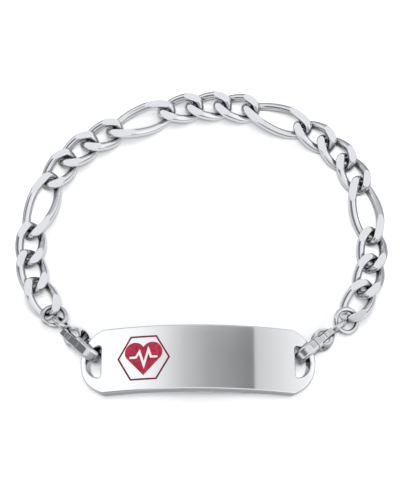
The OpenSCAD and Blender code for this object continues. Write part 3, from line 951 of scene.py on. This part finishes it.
# %% The enamel
ENAMEL_GAP = 0.03
ENAMEL_RISE = 0.03
ENAMEL_EDGE_R = 0.04
ENAMEL_HOLD = 0.02
enamel_edge = edge_profile(PLATE_T / 2 - ENAMEL_DEPTH + ENAMEL_GAP, PLATE_T / 2 + ENAMEL_RISE,
                           ENAMEL_EDGE_R, ENAMEL_HOLD)
LINE_AT = ENAMEL_GAP + ENAMEL_EDGE_R + ENAMEL_HOLD


def enamel_piece(name, outer, inner, red, node):
    """Enamel between two outlines, a hair smaller than its pocket."""
    piece = FlatPiece()
    rings = [piece.add_edge(lambda d: outer(d + ENAMEL_GAP), enamel_edge, False),
             piece.add_edge(lambda d: inner(d + ENAMEL_GAP), enamel_edge, True)]
    outer_line, inner_line = outer(LINE_AT), inner(LINE_AT)
    for level, up in ((0, False), (1, True)):
        piece.fill([ring[level] for ring in rings],
                   lambda p: inside(p, outer_line) and not inside(p, inner_line),
                   enamel_edge[-level][1], up)
    finish_piece(name, piece.bent_mesh(name), red, "bracelet", [node])


enamel_piece("enamel_border", lambda d: hexagon(True, d), lambda d: hexagon(False, d),
             border_red, "emblem_border")
enamel_piece("enamel_heart", heart, pulse, emblem_red, "emblem_heart")

# %% [markdown]
# A lobster clasp is cast in one piece: a round eye, a fat body with a slot for the lever, a flat
# spine, and a hook that bends back over the window. After casting it is tumbled, which softens
# every edge. Here each part is built apart from its measures, cut with Booleans, joined, and
# remeshed in fine voxels. The voxels melt the parts together and soften edges as tumbling does.

# %% Measures of a clasp
CLASP_REACH = 7.7
HOOK_INNER_R = 1.95
HOOK_T = 1.15
HOOK_W = 2.3
SEAM_X = CLASP_REACH - 0.5
SEAM_SLANT = 26
GATE_L = 1.6
EYE_HOLE_R = 1
EYE_WIRE_D = 1
BODY_HALF_T = 2
PIN_X = 4.1
PIN_Z = 1.75
PIN_D = 0.7
PIN_L = 3.4
BOSS_R = 0.95
TAB_H = 0.55
LEVER_T = 1.2
LEVER_GAP = 0.15
GATE_GAP = 0.1
WINDOW_DEPTH = 0.75
TAB_ROOM = 1.1
BOSS_ROOM = 0.4
CLASP_PITCH = {"left": 8.763, "right": 8.213}
CLASP_LEANS = {"left": 26.0, "right": -8.0}

hook_r = HOOK_INNER_R + HOOK_T / 2
hook_outer_r = HOOK_INNER_R + HOOK_T
eye_outer_r = EYE_HOLE_R + EYE_WIRE_D
spine_slope = math.asin((hook_outer_r - eye_outer_r) / CLASP_REACH)
body_start_x = EYE_HOLE_R + EYE_WIRE_D / 2
body_end_x = SEAM_X - GATE_L


def clasp_place(side):
    """Where a clasp's own frame goes: its pin sits where the frame's pin is."""
    turn = (turned("Z", CLASP_OUT[side] + 180) @ turned("Y", -CLASP_PITCH[side])
            @ turned("X", CLASP_LEANS[side]))
    eye = centre(f"{side}_clasp_pin") - turn.to_3x3() @ Vector((PIN_X, 0, PIN_Z))
    return Matrix.Translation(eye) @ turn


print("eye", 2 * eye_outer_r, "mm across, hook", round(2 * hook_outer_r, 2), "mm")
for side in ("left", "right"):
    print(side, "eye at", [round(v, 2) for v in clasp_place(side).translation])

# %% [markdown]
# Two helpers do the founder's work: one cuts closed meshes out of another, and one casts several
# into a single skin and softens it. Both hand the work to modifiers and take the result.

# %% Cutting and casting
SOFTENING = 0.5


def cut(mesh, cutters):
    """A mesh less some other meshes."""
    base = add_object("base", mesh)
    tools = [add_object("cutter", cutter) for cutter in cutters]
    for tool in tools:
        step = base.modifiers.new("cut", "BOOLEAN")
        step.operation, step.solver, step.object = "DIFFERENCE", "EXACT", tool
        step.use_self = True
    result = shaped_by(base)
    for used in [base] + tools:
        bpy.data.objects.remove(used)
    return result


def cast(meshes, voxel, passes):
    """Joins closed meshes into one skin of voxels, and softens its edges in some passes."""
    joined = bmesh.new()
    for mesh in meshes:
        joined.from_mesh(mesh)
    mesh = bpy.data.meshes.new("cast")
    joined.to_mesh(mesh)
    joined.free()
    work = add_object("cast", mesh)
    skin = work.modifiers.new("skin", "REMESH")
    skin.mode, skin.voxel_size = "VOXEL", voxel
    soft = work.modifiers.new("soft", "SMOOTH")
    soft.factor, soft.iterations = SOFTENING, passes
    result = shaped_by(work)
    bpy.data.objects.remove(work)
    return result


# %% [markdown]
# The parts to be cast come from two kinds of drawing. A flat outline is drawn twice, once on each
# side, and becomes a prism. A few measured rows are joined by a smooth curve, which gives the body
# its swell.

# %% Forms for casting


def prism(outline, half_w):
    """A flat outline in X and Z, as thick across Y as twice half_w."""
    return loft([[(p[0], y, p[1]) for p in outline] for y in (-half_w, half_w)])


def smooth_rows(rows, steps):
    """Rows filled in between with a smooth curve through each column."""
    filled = []
    for i in range(len(rows) - 1):
        p = [rows[max(i - 1, 0)], rows[i], rows[i + 1], rows[min(i + 2, len(rows) - 1)]]
        for k in range(steps + (i == len(rows) - 2)):
            t = k / steps
            filled.append([0.5 * (2 * b + (c - a) * t + (2 * a - 5 * b + 4 * c - d) * t * t
                                  + (3 * b - a - 3 * c + d) * t ** 3) for a, b, c, d in zip(*p)])
    return filled


def shaped(value, power):
    """A number raised to a power, with its sign kept."""
    return math.copysign(abs(value) ** power, value)


print("halfway between rows 0 and 1:", smooth_rows([(0,), (1,)], 2)[1])

# %% [markdown]
# The body swells from the thin neck at the eye to full width at the window, like a drop. Eight
# measured rows give its depth below, its height above and its thickness, and each section is a
# slightly squared oval.

# %% The drop of the clasp
BODY_ROWS = [
    # along, below, above, half thickness, each as a share
    (0.00, 0.31, 0.22, 0.26),
    (0.10, 0.46, 0.36, 0.44),
    (0.24, 0.65, 0.56, 0.66),
    (0.40, 0.83, 0.76, 0.87),
    (0.56, 0.95, 0.92, 0.98),
    (0.72, 1.00, 1.00, 1.00),
    (0.87, 1.00, 1.00, 0.90),
    (1.00, 1.00, 1.00, 0.74),
]
BODY_SIDES = 64
BETWEEN_ROWS = 6
SQUARENESS = 0.8


def spine_depth(x):
    return eye_outer_r / math.cos(spine_slope) + x * math.tan(spine_slope)


def body_pod():
    rings = []
    for along, below, above, half_t in smooth_rows(BODY_ROWS, BETWEEN_ROWS):
        x = body_start_x + (body_end_x - body_start_x) * along
        ring = []
        for k in range(BODY_SIDES):
            a = 2 * math.pi * k / BODY_SIDES
            up = shaped(math.sin(a), SQUARENESS)
            height = hook_outer_r * above if up > 0 else spine_depth(x) * below
            ring.append((x, BODY_HALF_T * half_t * shaped(math.cos(a), SQUARENESS), height * up))
        rings.append(ring)
    return loft(rings)


pod = body_pod()
print("drop:", len(pod.vertices), "points")

# %% [markdown]
# Three things are cut out of the drop: the window inside the hook, the slot that the lever moves
# in, and the bore for the pin.

# %% The window, the slot and the bore
WINDOW_BACK_STEPS = 24
WINDOW_ROUND_STEPS = 36
PIN_SIDES = 32


def window():
    """What is cut out of the body inside the hook: a teardrop with its point toward the eye."""
    back = CLASP_REACH - body_end_x - WINDOW_DEPTH
    back_z = back * math.tan(spine_slope / 2)
    tangent = 270 - math.degrees(spine_slope)
    outline = (arc((CLASP_REACH - back, back_z), HOOK_INNER_R - back_z, 90, tangent,
                   WINDOW_BACK_STEPS)
               + arc((CLASP_REACH, 0), HOOK_INNER_R, tangent, 450, WINDOW_ROUND_STEPS))
    return prism(outline, 2 * BODY_HALF_T)


def box_between(low, high):
    corners = [(x, y) for x, y in ((low[0], low[1]), (high[0], low[1]), (high[0], high[1]),
                                   (low[0], high[1]))]
    return loft([[(x, y, z) for x, y in corners] for z in (low[2], high[2])])


slot_w = LEVER_T + 2 * LEVER_GAP
lever_slot = box_between(
    (PIN_X - BOSS_R - TAB_ROOM, -slot_w / 2, PIN_Z - BOSS_R - BOSS_ROOM),
    (SEAM_X, slot_w / 2, 3 * hook_outer_r))
pin_bore = prism(arc((PIN_X, PIN_Z), PIN_D / 2, 0, 360, PIN_SIDES, last=False), 2 * BODY_HALF_T)
print("lever's slot", round(slot_w, 2), "mm wide, bore", PIN_D, "mm")

# %% [markdown]
# The hook's bar is rounded at its sides and flat inside and out. It starts at a slanted seam, so
# that the gate can't be pushed outward, bends round the nose, and runs back as the spine.

# %% The hook
BAR_STEPS = 12
BEND_STEPS = 48
SPINE_OVERLAP = 1


def bar_section():
    """The hook's section at each place: rounded sides, flat inside and out."""
    half = (HOOK_W - HOOK_T) / 2
    return (arc((0, half), HOOK_T / 2, 0, 180, BAR_STEPS)
            + arc((0, -half), HOOK_T / 2, 180, 360, BAR_STEPS))


def hook():
    """The bend from the seam round the nose, and the spine back into the body."""
    section = bar_section()
    seam = SEAM_X + GATE_GAP / math.cos(math.radians(SEAM_SLANT))
    tan_slant = math.tan(math.radians(SEAM_SLANT))
    rings = [[(seam - (hook_r + p.x - HOOK_INNER_R) * tan_slant, p.y, hook_r + p.x)
              for p in section]]
    end = 90 + math.degrees(spine_slope)
    for i in range(BEND_STEPS + 1):
        a = math.radians(90 - (90 + end) * i / BEND_STEPS)
        rings.append([(CLASP_REACH + (hook_r + p.x) * math.cos(a), p.y,
                       (hook_r + p.x) * math.sin(a)) for p in section])
    back = CLASP_REACH - body_end_x + SPINE_OVERLAP
    shift = Vector((-math.cos(spine_slope), 0, math.sin(spine_slope))) * back
    rings.append([tuple(Vector(p) + shift) for p in rings[-1]])
    return loft(rings)


hook_bar = hook()
print("hook:", len(hook_bar.vertices), "points")

# %% [markdown]
# The cut drop, the hook and the round eye are cast as one. Both clasps are casts of one mould, and
# each goes to its own place.

# %% The body of the clasp
BODY_VOXEL = 0.055
BODY_PASSES = 3

eye_ring = torus(EYE_HOLE_R + EYE_WIRE_D / 2, EYE_WIRE_D / 2, "Y")
cut_pod = cut(pod, [window(), lever_slot, pin_bore])
clasp_body = cast([cut_pod, hook_bar, eye_ring], BODY_VOXEL, BODY_PASSES)
for side in ("left", "right"):
    finish_piece(f"{side}_clasp", clasp_body.copy(), clasp_steel, "bracelet",
                 [f"{side}_clasp_body"], clasp_place(side))

# %% [markdown]
# The lever turns on its pin between the cheeks. Its gate closes the hook, and the thumb tab stands
# up behind the pin. It rides on a body of its own, so that it can be opened.

# %% The levers
BORE_GAP = 0.03
BOSS_SIDES = 48
LEVER_VOXEL = 0.05
LEVER_PASSES = 2


def from_pin(points):
    """Points measured from the pin's axis."""
    return [(PIN_X + x, PIN_Z + z) for x, z in points]


def lever_mesh():
    arm_end, arm_low, top = SEAM_X - PIN_X, HOOK_INNER_R - PIN_Z, hook_outer_r - PIN_Z
    tan_slant = math.tan(math.radians(SEAM_SLANT))
    boss = prism(arc((PIN_X, PIN_Z), BOSS_R, 0, 360, BOSS_SIDES, last=False), LEVER_T / 2)
    arm = prism(from_pin([(0, -0.6 * BOSS_R), (arm_end, arm_low),
                          (arm_end - HOOK_T * tan_slant, top), (0.6 * BOSS_R, top),
                          (-0.5 * BOSS_R, 0.8 * top), (-0.95 * BOSS_R, 0)]), LEVER_T / 2)
    tab = prism(from_pin([(-0.6 * BOSS_R, -0.5 * BOSS_R), (0.2 * BOSS_R, 0.85 * top),
                          (-0.35 * BOSS_R, top + TAB_H), (-1.4 * BOSS_R, top + TAB_H),
                          (-1.2 * BOSS_R, top)]), LEVER_T / 2)
    section = bar_section()
    gate = loft([[(body_end_x + GATE_GAP, p.y, hook_r + p.x) for p in section],
                 [(SEAM_X - (hook_r + p.x - HOOK_INNER_R) * tan_slant, p.y, hook_r + p.x)
                  for p in section]])
    bore = prism(arc((PIN_X, PIN_Z), PIN_D / 2 + BORE_GAP, 0, 360, PIN_SIDES, last=False), LEVER_T)
    return cast([cut(part, [bore.copy()]) for part in (boss, arm, tab)] + [gate],
                LEVER_VOXEL, LEVER_PASSES)


lever = lever_mesh()
for side in ("left", "right"):
    finish_piece(f"{side}_lever_arm", lever.copy(), clasp_steel, f"{side}_lever",
                 [f"{side}_clasp_lever"], clasp_place(side))

# %% [markdown]
# The pin is a short wire, peened over lightly at both ends so that it can't slide out.

# %% The pins
PIN_GAP = 0.01
PIN_CORNER = 35
PIN_DOME = [
    # in from the end, share of the radius
    (0.0, 0.55),
    (0.032, 0.85),
    (0.08, 1.0),
]


def pin_mesh():
    r, half = PIN_D / 2 - PIN_GAP, PIN_L / 2
    ends = ([(depth - half, share) for depth, share in PIN_DOME]
            + [(half - depth, share) for depth, share in reversed(PIN_DOME)])
    return loft([[(PIN_X + p.x, y, PIN_Z + p.y)
                  for p in arc((0, 0), r * share, 0, 360, PIN_SIDES, last=False)]
                 for y, share in ends])


for side in ("left", "right"):
    finish_piece(f"{side}_hinge_pin", pin_mesh(), clasp_steel, "bracelet",
                 [f"{side}_clasp_pin"], clasp_place(side), sharp=PIN_CORNER)

# %% [markdown]
# The bracelet lies on a white sheet that is lit until it is plain white, with only soft shadows
# where the steel touches it. In the steel the same sheet looks greyer, because the bracelet shades
# what lies close to it. One finish can't be both, so there are two sheets, a hair apart. The
# camera sees the white one, and only the reflections see the grey one under it. Inside the loop
# and beside the clasps the white sheet has a darker tone and less glow, painted shade that widens
# the soft shadows there, and the grey sheet glows there, painted light that makes the links' inner
# walls look brighter than their outer ones.

# %% The table
TABLE_HALF = 2.0
TABLE_DROP = 2e-5
CLASP_SIDE_X = (26, 32)
CLASP_SIDE_Y = (-4, -14)
GRAIN_PER_M = 900.0


def table_sheet(name, drop, finish):
    """A flat sheet a little below the bracelet. Its measures are in metres."""
    half = TABLE_HALF
    mesh = mesh_of(name, [(-half, -half, -drop), (half, -half, -drop), (half, half, -drop),
                          (-half, half, -drop)], [(0, 1, 2, 3)])
    mesh.materials.append(finish)
    sheet = add_object(name, mesh)
    return sheet


def table_finish(name, tones, glows, rim):
    """Acrylic with a tone and a glow for the open table, and painted ones for inside the loop."""
    material, tree = new_material(name)
    place = tree.node("ShaderNodeTexCoord", out="Object")

    def fade(value, start, end):
        return tree.node("ShaderNodeMapRange", {"interpolation_type": "SMOOTHSTEP"}, {
            "Value": value, "From Min": start * MM, "From Max": end * MM})

    def mixed(open_table, in_loop):
        return tree.node("ShaderNodeVectorMath", {"operation": "SCALE"}, {
            0: (1, 1, 1), "Scale": painted_zone * (in_loop - open_table) + open_table})

    reach = tree.node("ShaderNodeVectorMath", {"operation": "LENGTH"}, {0: place}, out="Value")
    x = tree.node("ShaderNodeSeparateXYZ", {}, {0: place}, out="X")
    y = tree.node("ShaderNodeSeparateXYZ", {}, {0: place}, out="Y")
    by_clasp = fade(x.math("ABSOLUTE"), *CLASP_SIDE_X) * fade(y, *CLASP_SIDE_Y)
    # Where shade is painted on the white sheet and light on the grey one: in the loop and by the
    # clasps.
    painted_zone = fade(reach, *rim).math("MAXIMUM", by_clasp)
    grain = tree.node("ShaderNodeTexNoise", {}, {
        "Vector": place, "Scale": GRAIN_PER_M, "Detail": 2.0})
    acrylic = tree.node("ShaderNodeBsdfPrincipled", {}, {
        "Base Color": mixed(*tones), "Roughness": 0.75 + (grain - 0.5) * 0.1,
        "Specular IOR Level": 0.1, "Emission Color": mixed(*glows), "Emission Strength": 1.0})
    tree.node("ShaderNodeOutputMaterial", {}, {"Surface": acrylic})
    return material


# The white sheet's lower tone and glow inside the loop and by the clasps are painted shade.
white_table = table_sheet("table", TABLE_DROP, table_finish(
    "table_white", tones=(0.9, 0.65), glows=(0.08, 0.03), rim=(32, 28)))
white_table.visible_glossy = False
white_table.visible_diffuse = False
# The grey sheet's glow inside the loop and by the clasps is painted light, seen only in the steel.
grey_table = table_sheet("table_in_the_steel", 2 * TABLE_DROP, table_finish(
    "table_grey", tones=(0.6, 0.6), glows=(0.0, 0.5), rim=(33, 27)))
grey_table.visible_camera = False
print("sheets:", white_table.name, grey_table.name)

# %% [markdown]
# Polished steel shows the room, so the room matters as much as the metal. This one is a soft white
# dome. Its tone is a product of three ramps, along X, Y and Z, and each draws a known line in the
# steel: the dark horizon edges every wire, the darker front shades the plate's front wall, and the
# tones from left to right set the ground flats. A dark curtain to the left and in front gives the
# clasps their darks, as a doorway or the photographer would.

# %% The room
FULL_TONE = 1.6
ACROSS = [(-1.0, 0.8), (-0.85, 1.3), (-0.55, 1.15), (0.0, 1.19), (0.5, 1.2), (0.7, 1.45),
          (0.8, 1.4), (0.9, 1.05), (1.0, 0.6)]
FRONT_TO_BACK = [(-1.0, 0.4), (-0.85, 0.5), (-0.7, 1.0), (0.55, 1.0), (0.65, 0.75),
                 (0.85, 0.62), (1.0, 0.5)]
HORIZON = [(-0.02, 0.2), (0.08, 0.3), (0.25, 1.0)]
CURTAIN = (-0.7, -0.22, 0.66)
CURTAIN_RIM = (0.86, 0.95)
CURTAIN_TONE = 0.2
WHITE_OF_ROOM = (0.985, 0.995, 1.02)

room = bpy.data.worlds.new("room")
room.use_nodes = True
room.node_tree.nodes.clear()
room_tree = Tree(room.node_tree)
way = room_tree.node("ShaderNodeTexCoord", out="Generated")


def tone_along(axis, tones):
    """The room's tone along one axis, from -1 to 1."""
    part = room_tree.node("ShaderNodeSeparateXYZ", {}, {0: way}, out=axis)
    stops = [((place + 1) / 2, tone / FULL_TONE) for place, tone in tones]
    return room_tree.node("ShaderNodeValToRGB", {"stops": stops}, {
        "Fac": part * 0.5 + 0.5}) * FULL_TONE


toward_curtain = room_tree.node("ShaderNodeVectorMath", {"operation": "DOT_PRODUCT"}, {
    0: way, 1: Vector(CURTAIN).normalized()}, out="Value")
curtain = room_tree.node("ShaderNodeMapRange", {"interpolation_type": "SMOOTHSTEP"}, {
    "Value": toward_curtain, "From Min": CURTAIN_RIM[0], "From Max": CURTAIN_RIM[1],
    "To Min": 1.0, "To Max": CURTAIN_TONE})
sky = (tone_along("X", ACROSS) * tone_along("Y", FRONT_TO_BACK) * tone_along("Z", HORIZON)
       * curtain)
light = room_tree.node("ShaderNodeBackground", {}, {
    "Color": room_tree.node("ShaderNodeVectorMath", {"operation": "SCALE"}, {
        0: WHITE_OF_ROOM, "Scale": sky}),
    "Strength": 1.0})
room_tree.node("ShaderNodeOutputWorld", {}, {"Surface": light})
bpy.context.scene.world = room
print("room:", len(room.node_tree.nodes), "nodes")

# %% [markdown]
# Two soft lamps, nearly overhead, do the rest. A small one in front keeps the shadow under the
# raised plate narrow with a steep ramp, and a wide one behind softens what falls forward. The
# steel doesn't show them, so they can be set for the shadows alone.

# %% The lamps
LAMPS = {
    # name: place, width, power
    "front_lamp": ((0.0, -0.15, 0.6), 0.14, 1.6),
    "back_lamp": ((0.0, 0.15, 0.6), 0.3, 1.2),
}
for name, (place, width, power) in LAMPS.items():
    lamp_data = bpy.data.lights.new(name, "AREA")
    lamp_data.shape, lamp_data.size, lamp_data.energy = "DISK", width, power
    lamp = add_object(name, lamp_data)
    lamp.location = place
    lamp.rotation_euler = (-lamp.location).to_track_quat("-Z", "Y").to_euler()
    lamp.visible_glossy = False
    print(name, power, "W at", place)

# %% [markdown]
# The plate shows a card over it, part grey and part white, with a sharp edge between. The card is
# painted light: it glows by itself and is no lamp. A mirror that is bent to a known circle sees a
# known direction from each place, so the card is worked out from the tones that the plate should
# show at each distance along its curve. Neither the camera nor the shadows see it.

# %% Card over the plate
CARD_HEIGHT = 300
BEHIND_PLATE = 1.5
CARD_EDGE = 10.12
GREY_CARD = [(-23.0, 1.55), (-12.8, 1.5), (-9.2, 1.35), (-6.4, 1.16), (-2.6, 0.8), (1.8, 0.54),
             (6.2, 0.41), (CARD_EDGE, 0.31)]
WHITE_CARD = [(CARD_EDGE, 0.85), (14.0, 1.04), (18.0, 1.22), (23.0, 1.55)]


def seen_from(s, y):
    """Where the camera's look at the plate, thrown back, meets the card's height."""
    a = s / PLATE_BEND_R
    r = PLATE_BEND_R + PLATE_T / 2
    spot = Vector((r * math.sin(a), plate_y + y, bend_z + r * math.cos(a)))
    normal = Vector((math.sin(a), 0, math.cos(a)))
    look = (spot - camera_place).normalized()
    back = look.reflect(normal)
    return spot + back * ((CARD_HEIGHT - spot.z) / back.z)


def card_strip(name, tones):
    """A strip over a stretch of the plate, with a tone at each of its cross lines."""
    points, values = [], []
    for s, tone in tones:
        points += [seen_from(s, -PLATE_W) * MM, seen_from(s, PLATE_W / 2 + BEHIND_PLATE) * MM]
        values += [tone, tone]
    faces = [(2 * i, 2 * i + 1, 2 * i + 3, 2 * i + 2) for i in range(len(tones) - 1)]
    mesh = mesh_of(name, points, faces)
    mesh.attributes.new("tone", "FLOAT", "POINT").data.foreach_set("value", values)
    mesh.materials.append(glowing_card)
    card = add_object(name, mesh)
    card.visible_camera = False
    card.visible_diffuse = False
    card.visible_shadow = False
    return card


# The card's glow is painted light that only reflections see.
glowing_card, paper_tree = new_material("glowing_card")
paper_tone = paper_tree.node("ShaderNodeAttribute", {"attribute_name": "tone"}, out="Fac")
paper_glow = paper_tree.node("ShaderNodeEmission", {}, {"Strength": paper_tone})
paper_tree.node("ShaderNodeOutputMaterial", {}, {"Surface": paper_glow})
for name, tones in (("grey_card", GREY_CARD), ("white_card", WHITE_CARD)):
    card = card_strip(name, tones)
    print(name, len(card.data.polygons), "panels")
